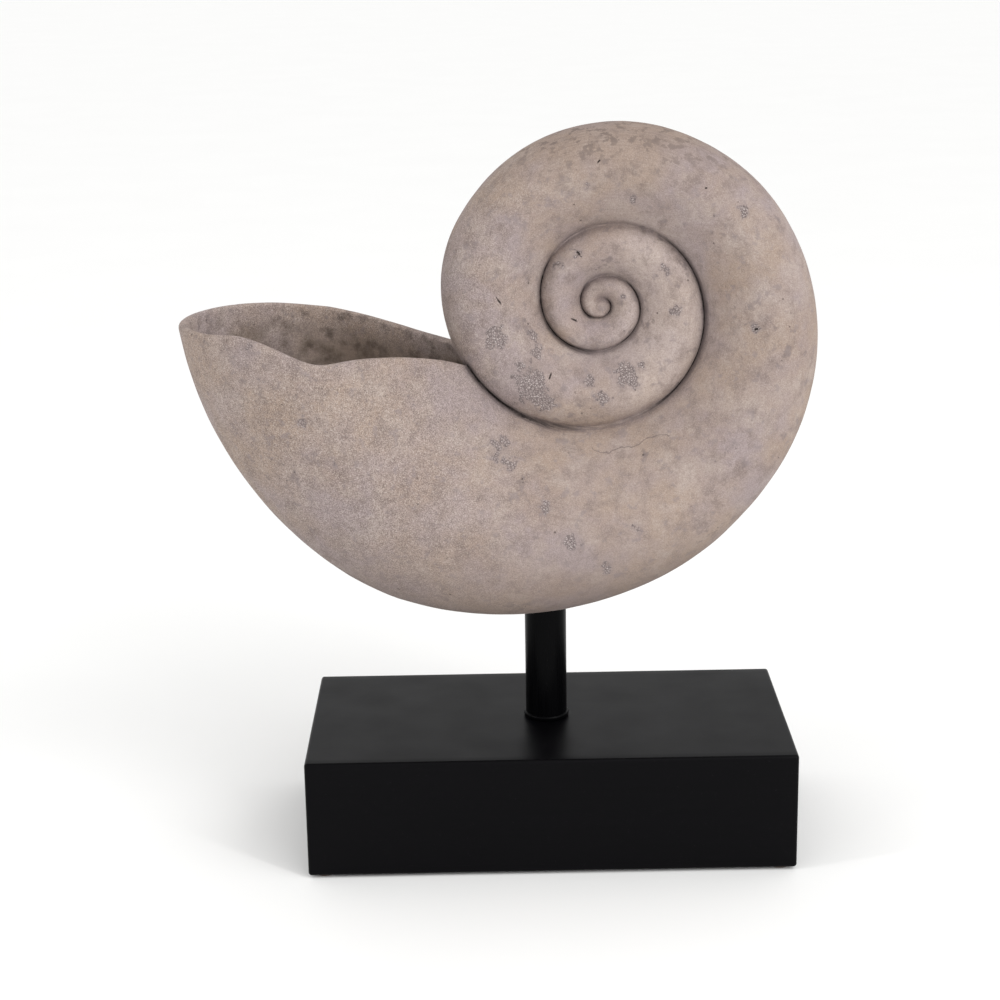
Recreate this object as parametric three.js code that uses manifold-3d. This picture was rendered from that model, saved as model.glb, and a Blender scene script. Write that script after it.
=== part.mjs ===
// A nautilus-shaped shell, cast hollow in one piece, held on a round steel post
// over a black wooden block. Millimetres, +Z up. The origin is on the floor, under the
// middle of the whole object. The coil faces -Y, and the open mouth is at -X.

import * as THREE from 'three';
import { mergeVertices } from 'three/addons/utils/BufferGeometryUtils.js';
import Module from 'manifold-3d';

const wasm = await Module();
wasm.setup();

const TURN = 2 * Math.PI;
const gap = 0.3;                    // clearance where two pieces meet

// ---- Stand: driving dimensions -------------------------------------------------------
const blockX = 27.3;                // the block's middle, from the object's middle
const postX = blockX - 1;
const padDiameter = 14;
const padThickness = 1.4;
const padInset = 10;                // a pad's centre, from the block's sides
const blockLength = 300;
const blockDepth = 150;
const blockHeight = 74;
const blockEdge = 2;                // rounding of the block's edges
const postDiameter = 26;
const postTop = 156;                // end of the post, inside the shell's floor
const collarWidth = 1.3;            // how far the ring stands out from the post
const collarHeight = 3;
const collarFoot = 0.4;             // how far the ring draws in at its foot
const collarRound = 0.25;           // rounding of the ring's top

// ---- Shell: driving dimensions -------------------------------------------------------
const coilCentre = new THREE.Vector2(blockX + 34.7, padThickness + 338.6);

// Outer edge of the whorls: [turns inwards from the mouth, radius from the coil's centre]
const outerEdge = [
  [0, 256], [0.125, 229.8], [0.25, 183.8], [0.375, 149.4], [0.5, 129], [0.625, 116.5],
  [0.75, 108.7], [0.875, 101.8], [1, 95.8], [1.125, 85.4], [1.25, 74.6], [1.5, 63.1],
  [1.75, 52.1], [2, 37.3], [2.25, 27.3], [2.5, 23.8], [2.75, 19.6], [3, 12.7],
  [3.25, 7], [3.5, 5.9], [3.75, 4.6], [4, 1.5], [4.25, 0.6], [5.5, 0.4],
];
// Half of the width across each whorl: [turns, half-width]
const halfWidth = [
  [0, 75], [0.25, 55], [0.5, 39], [0.75, 33.5], [1, 30], [1.25, 26.5], [1.5, 23],
  [2, 18], [2.5, 13.5], [3, 10], [3.5, 8],
];
const seat = 0.3;                   // share of a whorl's half-height that sinks in the next one
const pinch = 0.2;                  // how much fuller a whorl is outside than towards the centre
// Power of the section's curve: 2 is an ellipse, less is a lens. [turns, power]
const sectionPower = [[0, 1.25], [0.1, 1.5], [0.3, 2], [0.5, 2], [1, 2]];

// The mouth's lip, in turns from the level of the coil's centre
const lipStart = 1.2 / 360;
const lipSlope = 16 / 360;          // how much further round the lip meets the coil
const lipPower = 2.4;               // how late the lip turns down to the coil
// Worn waves of the lip: [angle round the section, drop in turns, spread in radians]
const lipWaves = [
  [-1.05, -0.8 / 360, 0.25],
  [-1.58, 2.15 / 360, 0.24],
  [-2.2, -0.5 / 360, 0.2],
  [-2.9, 6 / 360, 0.3],
  [1.95, -0.7 / 360, 0.35],
];
const lipThickness = 6;
const wallThickness = 17;           // wall of the hollow, deep inside
const wallFrom = 0.07;
const wallTo = 0.2;                 // the turns over which the wall thickens
const hollowEnd = 0.5;              // the turn where the hollow closes
const closingFrom = 0.8;            // share of the hollow's length where it starts to close
const closingTo = 1.015;            // its closed end is nearly, but not quite, drawn to a point
const socketReach = 60;             // how far down the post's hole is cut, past the shell's skin
const tipRadius = 6.4;              // the rounded bud at the coil's centre
const tipHalfWidth = 9.5;
const tipOffset = new THREE.Vector2(-0.3, -0.5);

// ---- How finely the pieces are faceted -----------------------------------------------
const roundSides = 40;              // the post, its ring and its hole
const padSides = 24;
const edgeSteps = 3;                // facets across the block's rounded edges
const tipSides = 16;
const tipRings = 10;
const around = 28;                  // points round a whorl's section
const coilJoints = [0.9, 1.82, 2.7, 3.3];   // turns where the coil's lengths join
const bodyRings = 38;
const hollowRings = 13;
const rimRings = 3;
const coilRings = [24, 20, 13];

// A smooth curve through the points of a table, by cubic pieces.
function along(table, x) {
  let i = 1;
  while (i < table.length - 1 && x > table[i][0]) i += 1;
  const [x0, y0] = table[i - 1];
  const [x1, y1] = table[i];
  const slope = (k) => {
    const before = table[Math.max(k - 1, 0)];
    const after = table[Math.min(k + 1, table.length - 1)];
    return (after[1] - before[1]) / (after[0] - before[0]);
  };
  const width = x1 - x0;
  const t = THREE.MathUtils.clamp((x - x0) / width, 0, 1);
  const t2 = t * t;
  const t3 = t2 * t;
  return (2 * t3 - 3 * t2 + 1) * y0 + (t3 - 2 * t2 + t) * width * slope(i - 1)
    + (3 * t2 - 2 * t3) * y1 + (t3 - t2) * width * slope(i);
}

// Where a whorl's inner side sits, a little way inside the next whorl.
function innerEdge(turn) {
  const next = along(outerEdge, turn + 1);
  return next - seat * (next - along(outerEdge, turn + 2)) / 2;
}

// A point on the whorl's section at a turn, moved inwards by an inset.
// The angle runs round the section from its outer edge.
function whorlPoint(turn, angle, inset = 0, shrink = 1) {
  const outer = along(outerEdge, turn) - inset;
  const inner = innerEdge(turn) + inset;
  const middle = (outer + inner) / 2;
  const reach = middle + shrink * Math.cos(angle) * (outer - inner) / 2;
  const bulge = Math.sqrt(1 - Math.abs(Math.cos(angle)) ** along(sectionPower, turn));
  const fullness = Math.sign(Math.sin(angle)) * bulge * (1 + pinch * Math.cos(angle));
  const across = shrink * (along(halfWidth, turn) - inset) * fullness;
  const direction = Math.PI + turn * TURN;
  return [
    coilCentre.x + reach * Math.cos(direction),
    across,
    coilCentre.y + reach * Math.sin(direction),
  ];
}

// The turn at which the lip lies, round the section.
function lipTurn(angle) {
  let turn = lipStart + lipSlope * ((1 - Math.cos(angle)) / 2) ** lipPower;
  for (const [centre, drop, spread] of lipWaves) {
    const away = Math.atan2(Math.sin(angle - centre), Math.cos(angle - centre)) / spread;
    turn += drop * Math.exp(-(away ** 2));
  }
  return turn;
}

function ringOf(pointAt) {
  const ring = [];
  for (let i = 0; i < around; i += 1) ring.push(pointAt(i / around * TURN));
  return ring;
}

function middleOf(ring) {
  const sum = [0, 0, 0];
  for (const point of ring) {
    for (let k = 0; k < 3; k += 1) sum[k] += point[k] / ring.length;
  }
  return sum;
}

// A closed surface through a row of rings, with a fan of triangles over each end.
function surfaceThrough(rings) {
  const positions = rings.flat();
  const firstPole = positions.length;
  positions.push(middleOf(rings[0]), middleOf(rings.at(-1)));
  const index = [];
  for (let r = 0; r < rings.length - 1; r += 1) {
    for (let i = 0; i < around; i += 1) {
      const a = r * around + i;
      const b = r * around + (i + 1) % around;
      index.push(a, b, a + around, b, b + around, a + around);
    }
  }
  const last = (rings.length - 1) * around;
  for (let i = 0; i < around; i += 1) {
    const j = (i + 1) % around;
    index.push(firstPole, j, i);
    index.push(firstPole + 1, last + i, last + j);
  }
  const geometry = new THREE.BufferGeometry();
  geometry.setAttribute('position', new THREE.Float32BufferAttribute(positions.flat(), 3));
  geometry.setIndex(index);
  return geometry;
}

function solidOf(geometry) {
  const bare = geometry.clone();
  bare.deleteAttribute('normal');
  bare.deleteAttribute('uv');
  const merged = mergeVertices(bare, 1e-4);
  return new wasm.Manifold(new wasm.Mesh({
    numProp: 3,
    vertProperties: new Float32Array(merged.attributes.position.array),
    triVerts: new Uint32Array(merged.index.array),
  }));
}

function geometryOf(solid) {
  const mesh = solid.getMesh();
  const geometry = new THREE.BufferGeometry();
  geometry.setAttribute('position', new THREE.BufferAttribute(mesh.vertProperties, 3));
  geometry.setIndex(new THREE.BufferAttribute(mesh.triVerts, 1));
  geometry.computeVertexNormals();
  return geometry;
}

// ---- Shell ---------------------------------------------------------------------------

// The big open whorl: up from the hollow's closed end, over the lip and round outside.
function openWhorl() {
  const rings = [];
  const wallAt = (turn) => lipThickness + (wallThickness - lipThickness)
    * THREE.MathUtils.smoothstep(turn, wallFrom, wallTo);
  const rimReach = (angle) => lipThickness / 2 / (TURN * along(outerEdge, lipTurn(angle)));
  for (let r = 0; r < hollowRings; r += 1) {
    const depth = 1 - r / hollowRings;
    const closing = Math.max(0, (depth - closingFrom) / (closingTo - closingFrom));
    rings.push(ringOf((angle) => {
      const start = lipTurn(angle) + rimReach(angle);
      const turn = start + (hollowEnd - start) * depth;
      return whorlPoint(turn, angle, wallAt(turn), Math.sqrt(1 - closing ** 2));
    }));
  }
  for (let r = 0; r <= rimRings + 1; r += 1) {
    const bend = Math.PI * r / (rimRings + 1);
    rings.push(ringOf((angle) => {
      const turn = lipTurn(angle) + rimReach(angle) * (1 - Math.sin(bend));
      return whorlPoint(turn, angle, lipThickness * (1 + Math.cos(bend)) / 2);
    }));
  }
  for (let r = 1; r <= bodyRings; r += 1) {
    rings.push(ringOf((angle) => {
      const start = lipTurn(angle) + rimReach(angle);
      return whorlPoint(start + (coilJoints[0] - start) * r / bodyRings, angle);
    }));
  }
  return surfaceThrough(rings);
}

// A length of the coil, from one turn to another.
function coilLength(from, to, count) {
  const rings = [];
  for (let r = 0; r <= count; r += 1) {
    const turn = from + (to - from) * r / count;
    rings.push(ringOf((angle) => whorlPoint(turn, angle)));
  }
  return surfaceThrough(rings);
}

function coilTip() {
  const geometry = new THREE.SphereGeometry(tipRadius, tipSides, tipRings);
  geometry.scale(1, tipHalfWidth / tipRadius, 1);
  geometry.translate(coilCentre.x + tipOffset.x, 0, coilCentre.y + tipOffset.y);
  return geometry;
}

function postSocket() {
  const radius = postDiameter / 2 + gap;
  const geometry = new THREE.CylinderGeometry(radius, radius, socketReach, roundSides);
  geometry.rotateX(Math.PI / 2);
  geometry.translate(postX, 0, postTop + gap - socketReach / 2);
  return geometry;
}

function shell() {
  let solid = solidOf(openWhorl());
  coilRings.forEach((count, i) => {
    solid = solid.add(solidOf(coilLength(coilJoints[i], coilJoints[i + 1], count)));
  });
  solid = solid.add(solidOf(coilTip()));
  solid = solid.subtract(solidOf(postSocket()));
  return geometryOf(solid);
}

// ---- Stand ---------------------------------------------------------------------------

const blockBottom = padThickness + gap;
const blockTop = blockBottom + blockHeight;

function block() {
  const length = blockLength / 2 - blockEdge;
  const depth = blockDepth / 2 - blockEdge;
  const outline = new THREE.Shape();
  outline.moveTo(-length, -depth);
  outline.lineTo(length, -depth);
  outline.lineTo(length, depth);
  outline.lineTo(-length, depth);
  outline.closePath();
  const geometry = new THREE.ExtrudeGeometry(outline, {
    depth: blockHeight - 2 * blockEdge,
    bevelThickness: blockEdge,
    bevelSize: blockEdge,
    bevelSegments: edgeSteps,
    steps: 1,
  });
  geometry.translate(blockX, 0, blockBottom + blockEdge);
  return geometry;
}

function pad() {
  const geometry = new THREE.CylinderGeometry(
    padDiameter / 2, padDiameter / 2, padThickness, padSides);
  geometry.rotateX(Math.PI / 2);
  geometry.translate(0, 0, padThickness / 2);
  return geometry;
}

function post() {
  const bottom = blockTop + gap;
  const geometry = new THREE.CylinderGeometry(
    postDiameter / 2, postDiameter / 2, postTop - bottom, roundSides);
  geometry.rotateX(Math.PI / 2);
  geometry.translate(postX, 0, (bottom + postTop) / 2);
  return geometry;
}

// The ring at the post's foot: widest a little above the block, rounded over at the top.
function collar() {
  const inner = postDiameter / 2 + gap;
  const outer = postDiameter / 2 + collarWidth;
  const profile = [
    [inner, 0], [outer - collarFoot, 0], [outer, collarHeight / 2],
    [outer - collarRound, 3 * collarHeight / 4], [inner + collarRound, collarHeight],
    [inner, collarHeight], [inner, 0],
  ].map(([x, y]) => new THREE.Vector2(x, y));
  const geometry = new THREE.LatheGeometry(profile, roundSides);
  geometry.rotateX(Math.PI / 2);
  geometry.translate(postX, 0, blockTop + gap);
  return geometry;
}

// ---- Materials -----------------------------------------------------------------------
const castStone = new THREE.MeshStandardMaterial({ color: 0xa5968c, roughness: 0.95, metalness: 0 });
const blackSteel = new THREE.MeshStandardMaterial({ color: 0x121214, roughness: 0.35, metalness: 0.3 });
const blackWood = new THREE.MeshStandardMaterial({ color: 0x17161a, roughness: 0.5, metalness: 0 });
const feltPad = new THREE.MeshStandardMaterial({ color: 0x3a2c24, roughness: 1, metalness: 0 });

// ---- Assembly ------------------------------------------------------------------------
const group = new THREE.Group();

function place(name, geometry, material) {
  const mesh = new THREE.Mesh(geometry, material);
  mesh.name = name;
  group.add(mesh);
  return mesh;
}

const padNames = [
  ['foot_pad_front_left', -1, -1], ['foot_pad_front_right', 1, -1],
  ['foot_pad_back_left', -1, 1], ['foot_pad_back_right', 1, 1],
];
for (const [name, side, end] of padNames) {
  const mesh = place(name, pad(), feltPad);
  mesh.position.set(
    blockX + side * (blockLength / 2 - padInset), end * (blockDepth / 2 - padInset), 0);
}
place('base_block', block(), blackWood);
place('post_collar', collar(), blackSteel);
place('post', post(), blackSteel);
place('shell', shell(), castStone);

export default group;
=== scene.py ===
import math

import bmesh
import bpy
from mathutils import Matrix, Vector, noise


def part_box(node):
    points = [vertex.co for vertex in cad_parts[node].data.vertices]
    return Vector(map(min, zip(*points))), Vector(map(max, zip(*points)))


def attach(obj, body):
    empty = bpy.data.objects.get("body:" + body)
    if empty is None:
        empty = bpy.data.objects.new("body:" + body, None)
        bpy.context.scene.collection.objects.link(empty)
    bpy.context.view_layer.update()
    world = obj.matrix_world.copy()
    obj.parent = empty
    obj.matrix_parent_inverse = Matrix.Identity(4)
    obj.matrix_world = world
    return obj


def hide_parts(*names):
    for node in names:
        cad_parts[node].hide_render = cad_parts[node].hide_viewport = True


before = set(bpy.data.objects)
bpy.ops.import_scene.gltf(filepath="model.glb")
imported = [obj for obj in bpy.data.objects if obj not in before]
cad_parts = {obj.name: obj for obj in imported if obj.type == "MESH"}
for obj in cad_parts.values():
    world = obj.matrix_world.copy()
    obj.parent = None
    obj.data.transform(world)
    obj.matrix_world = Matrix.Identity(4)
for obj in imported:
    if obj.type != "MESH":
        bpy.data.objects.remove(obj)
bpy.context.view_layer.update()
scene = bpy.context.scene
MM = 0.001

# ---- Camera --------------------------------------------------------------------------
# A portrait lens on a stand 1.25 m in front of the piece and a little above the coil,
# looking down by 16 degrees. The camera leans by one degree, as a hand-levelled one does.

camera_place = Vector((-0.0051, -1.2506, 0.5808))
camera_yaw = math.radians(0.185)
camera_pitch = math.radians(-16.165)
camera_lean = math.radians(-0.963)

camera = bpy.data.objects.new("camera", bpy.data.cameras.new("camera"))
camera.data.lens = 75.66
camera.data.sensor_width = 36
camera.matrix_world = (
    Matrix.Translation(camera_place)
    @ Matrix.Rotation(-camera_yaw, 4, "Z")
    @ Matrix.Rotation(math.pi / 2 + camera_pitch, 4, "X")
    @ Matrix.Rotation(camera_lean, 4, "Z")
)
scene.collection.objects.link(camera)
scene.camera = camera

# ---- Studio --------------------------------------------------------------------------
# A wide sheet of matt white paper laid flat on the floor, in a pale room. Two tall soft boxes
# stand left and right of the camera, and a wide, very soft light comes from the front right.


def linear(code):
    """Turns an sRGB hex colour into the linear colour that a shader reads."""
    channels = [int(code[i:i + 2], 16) / 255 for i in (1, 3, 5)]
    return [c / 12.92 if c <= 0.04045 else ((c + 0.055) / 1.055) ** 2.4 for c in channels] + [1.0]


def add(tree, kind, inputs=(), **settings):
    """Adds a node to a tree with its settings. Each input takes a value, a socket or a node."""
    node = tree.nodes.new(kind)
    for name, value in settings.items():
        setattr(node, name, value)
    pairs = inputs.items() if isinstance(inputs, dict) else enumerate(inputs)
    for key, value in pairs:
        if isinstance(value, bpy.types.Node):
            value = next(socket for socket in value.outputs if socket.enabled)
        if isinstance(value, bpy.types.NodeSocket):
            tree.links.new(value, node.inputs[key])
        else:
            node.inputs[key].default_value = value
    return node


def new_material(name):
    """An empty material with its node tree and its output."""
    material = bpy.data.materials.new(name)
    material.use_nodes = True
    material.node_tree.nodes.clear()
    return material, material.node_tree


def new_object(name, data):
    """An object at the origin that holds a mesh or a lamp."""
    piece = bpy.data.objects.new(name, data)
    scene.collection.objects.link(piece)
    return piece


paper, tree = new_material("matt background paper")
# Paper has a faint mottle, which keeps the floor from looking like a flat fill.
spot = add(tree, "ShaderNodeTexCoord").outputs["Object"]
mottle = add(tree, "ShaderNodeTexNoise", {"Vector": spot, "Scale": 1000 / 180, "Detail": 3})
shade = add(tree, "ShaderNodeMix", {0: mottle, 6: linear("#f6f6f5"), 7: linear("#f9f9f8")},
            data_type="RGBA")
sheet = add(tree, "ShaderNodeBsdfPrincipled",
            {"Base Color": shade.outputs[2], "Roughness": 0.9, "Specular IOR Level": 0.1})
add(tree, "ShaderNodeOutputMaterial", {"Surface": sheet})

floor_reach = 40.0
corners = [(x * floor_reach, y * floor_reach, 0) for x, y in ((-1, -1), (1, -1), (1, 1), (-1, 1))]
floor_mesh = bpy.data.meshes.new("floor")
floor_mesh.from_pydata(corners, [], [(0, 1, 2, 3)])
floor_mesh.materials.append(paper)
new_object("floor", floor_mesh)

room = bpy.data.worlds.new("pale room")
room.use_nodes = True
room.node_tree.nodes["Background"].inputs["Color"].default_value = linear("#ffffff")
room.node_tree.nodes["Background"].inputs["Strength"].default_value = 0.9
scene.world = room
scene.view_settings.view_transform = "Standard"

aim = Vector((0, 0, 0.25))


def hang(name, lamp, azimuth, elevation, distance):
    """Hangs a lamp round from the camera's side, facing the piece."""
    turn = math.radians(azimuth)
    rise = math.radians(elevation)
    away = Vector((math.sin(turn) * math.cos(rise), -math.cos(turn) * math.cos(rise), math.sin(rise)))
    facing = away.to_track_quat("Z", "Y").to_matrix().to_4x4()
    new_object(name, lamp).matrix_world = Matrix.Translation(aim + away * distance) @ facing


soft_boxes = [
    # name, azimuth, elevation, distance, width, height, power
    ("right soft box", 46, 34, 1.9, 0.15, 1.4, 7),
    ("left soft box", -68, 28, 1.9, 0.12, 1.4, 5),
]
for name, azimuth, elevation, distance, width, height, power in soft_boxes:
    lamp = bpy.data.lights.new(name, "AREA")
    lamp.shape = "RECTANGLE"
    lamp.size = width
    lamp.size_y = height
    lamp.energy = power
    hang(name, lamp, azimuth, elevation, distance)

# The light from the front is wide enough that it leaves no hard shadow on the paper.
lamp = bpy.data.lights.new("wide front light", "SUN")
lamp.energy = 1.05
lamp.angle = math.radians(60)
hang("wide front light", lamp, 42, 26, 1)

# ---- Foot pads -----------------------------------------------------------------------
# Four discs of brown wool felt, glued under the block's corners so that it doesn't scratch
# a shelf. Each was punched from a sheet, and its cut edge is a little fuzzy and pressed in.

felt, tree = new_material("pressed wool felt")
# Felt scatters light with no gloss, and its short fibres show as a soft mottle.
spot = add(tree, "ShaderNodeTexCoord").outputs["Object"]
fibres = add(tree, "ShaderNodeTexNoise", {"Vector": spot, "Scale": 1 / (0.5 * MM), "Detail": 4.0})
tone = add(tree, "ShaderNodeMix", {0: fibres, 6: linear("#2a1f19"), 7: linear("#5a4436")},
           data_type="RGBA")
nap = add(tree, "ShaderNodeBump", {"Strength": 0.7, "Distance": 0.3 * MM, "Height": fibres})
cloth = add(tree, "ShaderNodeBsdfPrincipled",
            {"Base Color": tone.outputs[2], "Roughness": 0.98, "Sheen Weight": 0.3, "Normal": nap})
add(tree, "ShaderNodeOutputMaterial", {"Surface": cloth})


def turned(profile, centre, sides, is_ring=False):
    """A closed round mesh from a profile of (radius, height). The profile starts and ends on
    the axis, or it closes on itself and gives a ring."""
    shape = bmesh.new()
    rings = []
    for radius, height in profile:
        ring = []
        for i in range(sides if radius else 1):
            angle = math.tau * i / sides
            ring.append(shape.verts.new((centre.x + radius * math.cos(angle),
                                         centre.y + radius * math.sin(angle), height)))
        rings.append(ring)
    for lower, upper in zip(rings, rings[1:] + rings[:1] * is_ring):
        for i in range(sides):
            j = (i + 1) % sides
            corners = [lower[i % len(lower)], lower[j % len(lower)],
                       upper[j % len(upper)], upper[i % len(upper)]]
            shape.faces.new(list(dict.fromkeys(corners)))
    bmesh.ops.recalc_face_normals(shape, faces=shape.faces)
    mesh = bpy.data.meshes.new("turned")
    shape.to_mesh(mesh)
    shape.free()
    mesh.shade_smooth()
    mesh.set_sharp_from_angle(angle=math.radians(40))
    return mesh


pressed = 0.25 * MM
for corner in ("front_left", "front_right", "back_left", "back_right"):
    low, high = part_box("foot_pad_" + corner)
    radius = (high.x - low.x) / 2
    profile = [(0, low.z), (radius - 2 * pressed, low.z), (radius - pressed / 2, low.z + pressed),
               (radius, (low.z + high.z) / 2), (radius - pressed / 2, high.z - pressed),
               (radius - 2 * pressed, high.z), (0, high.z)]
    pad = new_object("felt_pad_" + corner, turned(profile, (low + high) / 2, 48))
    pad.data.materials.append(felt)
    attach(pad, "root")
    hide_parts("foot_pad_" + corner)

# ---- Block ---------------------------------------------------------------------------
# A solid block of close-grained wood, 300 x 150 x 74 mm, with its edges eased by sanding.
# It was stained black and given a satin lacquer that lies a little unevenly.

block_low, block_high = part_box("base_block")
edge_rounding = 2 * MM
block_middle = (block_low + block_high) / 2
block_size = block_high - block_low
shape = bmesh.new()
bmesh.ops.create_cube(shape, size=1.0)
for vert in shape.verts:
    vert.co = block_middle + vert.co * block_size
bmesh.ops.bevel(shape, geom=list(shape.edges) + list(shape.verts), offset=edge_rounding, segments=6,
                profile=0.5, affect="EDGES", clamp_overlap=True)
# The faces are cut finely enough to carry the sanded surface's slight waviness.
flat_edges = [edge for edge in shape.edges if edge.calc_length() > 20 * MM]
bmesh.ops.subdivide_edges(shape, edges=flat_edges, cuts=24, use_grid_fill=True)
sanded_depth = 0.12 * MM
wave_length = 45 * MM
for vert in shape.verts:
    inward = (block_middle - vert.co).normalized()
    vert.co += inward * sanded_depth * noise.noise(vert.co / wave_length)
mesh = bpy.data.meshes.new("stained_block")
shape.to_mesh(mesh)
shape.free()
mesh.shade_smooth()
block = new_object("stained_block", mesh)

# The kinds of node added most often.
MAP_RANGE = "ShaderNodeMapRange"
MATH = "ShaderNodeMath"

lacquer, tree = new_material("black stained wood with satin lacquer")
# The stain is nearly black, with a breath of violet where light grazes it, and a straight
# grain that only just shows. The lacquer gives a broad, soft reflection of the post.
spot = add(tree, "ShaderNodeTexCoord").outputs["Object"]
grain_line = 1.4 * MM
grain_length = 60 * MM
stretched = add(tree, "ShaderNodeMapping", {"Vector": spot, "Scale": (grain_line / grain_length, 1, 1)})
grain = add(tree, "ShaderNodeTexNoise", {"Vector": stretched, "Scale": 1 / grain_line, "Detail": 4.0})
smudge = add(tree, "ShaderNodeTexNoise", {"Vector": spot, "Scale": 1 / (38 * MM), "Detail": 4.0})
dust = add(tree, "ShaderNodeTexNoise", {"Vector": spot, "Scale": 1 / (1.2 * MM), "Detail": 3.0})
tone = add(tree, "ShaderNodeMix", {0: grain, 6: linear("#020203"), 7: linear("#050407")},
           data_type="RGBA")
specks = add(tree, MAP_RANGE, {"Value": dust, "From Min": 0.68, "From Max": 0.8, "To Max": 0.12})
tone = add(tree, "ShaderNodeMix", {0: specks, 6: tone.outputs[2], 7: linear("#5c565c")},
           data_type="RGBA")
rough = add(tree, MAP_RANGE, {"Value": smudge, "From Min": 0.3, "From Max": 0.7,
                              "To Min": 0.34, "To Max": 0.42})
height = add(tree, MATH, [grain, 0.6, smudge], operation="MULTIPLY_ADD")
bump = add(tree, "ShaderNodeBump", {"Strength": 0.25, "Distance": 0.08 * MM, "Height": height})
coat = add(tree, "ShaderNodeBsdfPrincipled",
           {"Base Color": tone.outputs[2], "Roughness": rough, "IOR": 1.45, "Specular IOR Level": 0.09,
            "Normal": bump})
add(tree, "ShaderNodeOutputMaterial", {"Surface": coat})
block.data.materials.append(lacquer)
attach(block, "root")
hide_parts("base_block")

# ---- Collar and post -----------------------------------------------------------------
# A length of 26 mm steel tube, screwed up from below the block, with a thin turned steel
# ring pressed round its foot. Both were sprayed black with a semi-gloss enamel.

enamel, tree = new_material("semi-gloss black enamel on steel")
# Sprayed enamel: deep black with clear, slightly broken vertical highlights from the soft
# boxes, a fine orange-peel, and faint rub marks along the tube.
spot = add(tree, "ShaderNodeTexCoord").outputs["Object"]
peel = add(tree, "ShaderNodeTexNoise", {"Vector": spot, "Scale": 1 / (1.6 * MM), "Detail": 2.0})
rub_line = 0.8 * MM
rub_length = 26 * MM
along_post = add(tree, "ShaderNodeMapping", {"Vector": spot, "Scale": (1, 1, rub_line / rub_length)})
rub = add(tree, "ShaderNodeTexNoise", {"Vector": along_post, "Scale": 1 / rub_line, "Detail": 3.0})
tone = add(tree, "ShaderNodeMix", {0: rub, 6: linear("#020203"), 7: linear("#050506")},
           data_type="RGBA")
rough = add(tree, MAP_RANGE, {"Value": rub, "From Min": 0.3, "From Max": 0.7,
                              "To Min": 0.24, "To Max": 0.36})
bump = add(tree, "ShaderNodeBump", {"Strength": 0.3, "Distance": 0.06 * MM, "Height": peel})
coat = add(tree, "ShaderNodeBsdfPrincipled",
           {"Base Color": tone.outputs[2], "Roughness": rough, "IOR": 1.5, "Specular IOR Level": 0.05,
            "Normal": bump})
add(tree, "ShaderNodeOutputMaterial", {"Surface": coat})

low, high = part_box("post_collar")
post_low, post_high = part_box("post")
post_middle = (post_low + post_high) / 2
post_radius = (post_high.x - post_low.x) / 2
ring_outer = (high.x - low.x) / 2
ring_inner = post_radius + 0.05 * MM
ring_height = high.z - low.z
# The ring's section, from its foot up: a small chamfer, a round belly and an eased top.
belly = 0.8 * MM
section = [(ring_inner, low.z), (ring_outer - belly / 2, low.z),
           (ring_outer - belly / 8, low.z + 0.25 * ring_height)]
for step in range(7):
    angle = math.radians(-20 + 100 * step / 6)
    section.append((ring_outer - belly + belly * math.cos(angle),
                    low.z + 0.55 * ring_height + 0.45 * ring_height * math.sin(angle)))
section.append((ring_inner, high.z))
ring = new_object("foot_ring", turned(section, post_middle, 96, is_ring=True))
ring.data.materials.append(enamel)
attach(ring, "root")
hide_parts("post_collar")

chamfer = 0.5 * MM
profile = [(0, post_low.z), (post_radius - chamfer, post_low.z), (post_radius, post_low.z + chamfer)]
steps = 20
for step in range(1, steps):
    profile.append((post_radius, post_low.z + (post_high.z - post_low.z) * step / steps))
profile += [(post_radius, post_high.z - chamfer), (post_radius - chamfer, post_high.z),
            (0, post_high.z)]
post = new_object("enamelled_post", turned(profile, post_middle, 96))
post.data.materials.append(enamel)
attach(post, "root")
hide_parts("post")

# ---- Shell ---------------------------------------------------------------------------
# One hollow casting of cement and stone dust in the shape of a coiled sea shell, open at
# the mouth. It came out of a mould, got a thin trowelled coat, and was rubbed and stained
# while the coat dried. It sits over the post's end in a drilled socket and is glued there.

# The outer edge of the whorls: turns inwards from the mouth, radius in mm.
outer_edge = [
    (0, 256), (0.125, 229.8), (0.16, 218), (0.2, 202.3), (0.25, 183.8), (0.31, 165.7),
    (0.375, 149.4), (0.5, 129), (0.625, 116.5), (0.75, 108.7), (0.875, 101.8), (1, 95.8),
    (1.125, 85.4), (1.25, 74.6), (1.38, 68.2), (1.5, 63.1), (1.75, 52.1), (2, 37.3),
    (2.25, 27.3), (2.5, 23.8), (2.75, 19.6), (2.88, 16.1), (3, 12.7), (3.1, 10.1),
    (3.25, 7), (3.5, 5.9), (3.75, 4.6), (4, 1.5), (4.25, 0.6), (5.5, 0.4),
]
# Half of the width across each whorl, in mm, and the power of its section's curve: 2 is an
# ellipse, less is a lens.
half_width = [
    (0, 75), (0.25, 55), (0.38, 45.8), (0.5, 39), (0.75, 33.5), (1, 30), (1.25, 26.5),
    (1.5, 23), (2, 18), (2.5, 13.5), (3, 10), (3.5, 8), (5.5, 8),
]
section_power = [(0, 1.25), (0.1, 1.5), (0.3, 2), (0.5, 2), (5.5, 2)]
coil_turns = outer_edge[-1][0]
mouth_radius = outer_edge[0][1]
mouth_half_width = half_width[0][1]
growth_per_turn = 2.7

# The lip's worn waves: angle round the section, drop in turns, spread in radians.
lip_waves = [(-1.05, -0.8 / 360, 0.25), (-1.58, 2.15 / 360, 0.24), (-2.2, -0.5 / 360, 0.2),
             (-2.9, 6 / 360, 0.3), (1.95, -0.7 / 360, 0.35)]
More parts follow.
